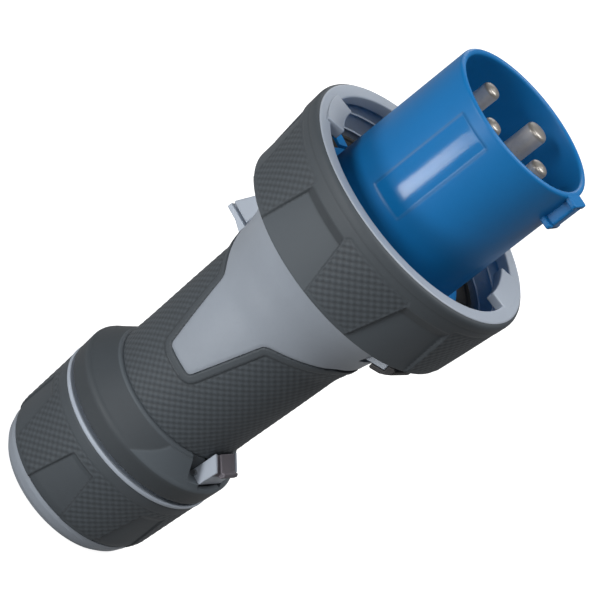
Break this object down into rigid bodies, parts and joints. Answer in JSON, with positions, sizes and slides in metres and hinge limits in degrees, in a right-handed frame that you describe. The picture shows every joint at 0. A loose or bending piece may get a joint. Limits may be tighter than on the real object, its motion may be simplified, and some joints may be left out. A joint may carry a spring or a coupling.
{
  "type": "industrial pin and sleeve plug",
  "caption": "Sealed industrial plug with round pins in a keyed sleeve, bayonet locking ring, soft grip and screwed cable gland.",
  "frame": {"origin": "centre of the rear end face of the gland nut, on which the plug stands", "axes": "+Z along the plug towards the mouth of the sleeve, -Y towards the side of the key and the latches, +X towards the earth pin"},
  "size_m": [0.1182, 0.1182, 0.2623],
  "materials": {
    "shell_grey": "satin moulded",
    "soft_grey": "soft matt, fine diamond pattern",
    "sleeve_blue": "satin gloss moulded",
    "carrier_blue": "moulded",
    "seal_black": "matt",
    "pad_black": "soft matt",
    "cage_black": "moulded",
    "contact_nickel": "nickel plated",
    "steel": "zinc plated"
  },
  "bodies": {
    "housing": {"front_housing": "shell_grey", "grip_cover": "soft_grey", "rear_housing": "shell_grey", "rear_belt": "soft_grey", "housing_seal": "seal_black", "contact_sleeve": "sleeve_blue", "flange_seal": "seal_black", "contact_carrier": "carrier_blue", "carrier_screws": "steel", "pin_earth": "contact_nickel", "pin_line_1": "contact_nickel", "pin_line_2": "contact_nickel", "pin_line_3": "contact_nickel", "terminal_screws": "steel", "ring_stop_block": "shell_grey", "cable_seal": "seal_black", "housing_latch_pin": "steel", "ring_latch_pin": "steel"},
    "gland_press": {"slip_washer": "steel", "clamp_cage": "cage_black"},
    "gland_nut": {"gland_nut": "shell_grey", "gland_nut_cover": "soft_grey"},
    "locking_ring": {"locking_ring": "shell_grey", "locking_ring_cover": "soft_grey"},
    "housing_latch": {"housing_latch": "shell_grey", "housing_latch_pad": "pad_black"},
    "ring_latch": {"ring_latch": "shell_grey", "ring_latch_pad": "pad_black"}
  },
  "joints": [
    {"name": "ring_turn", "type": "hinge", "parent": "housing", "child": "locking_ring", "pos_m": [0, 0, 0.1705], "axis": [0, 0, 1], "range_deg": [-45, 0]},
    {"name": "gland_travel", "type": "slide", "parent": "housing", "child": "gland_press", "axis": [0, 0, -1], "range_m": [0, 0.0062]},
    {"name": "gland_turn", "type": "hinge", "parent": "gland_press", "child": "gland_nut", "pos_m": [0, 0, 0.025], "axis": [0, 0, -1], "range_deg": [0, 720]},
    {"name": "housing_latch_lift", "type": "hinge", "parent": "housing", "child": "housing_latch", "pos_m": [0, -0.0335, 0.063], "axis": [1, 0, 0], "range_deg": [0, 30], "stiffness_Nm_per_rad": 0.05, "springref_deg": -11.46},
    {"name": "ring_latch_pull", "type": "hinge", "parent": "housing", "child": "ring_latch", "pos_m": [0, -0.036, 0.156], "axis": [1, 0, 0], "range_deg": [0, 15], "stiffness_Nm_per_rad": 0.05, "springref_deg": -11.46}
  ],
  "couplings": [
    {"joint": "gland_travel", "follows": "gland_turn", "m_per_rad": 0.00047746}
  ]
}
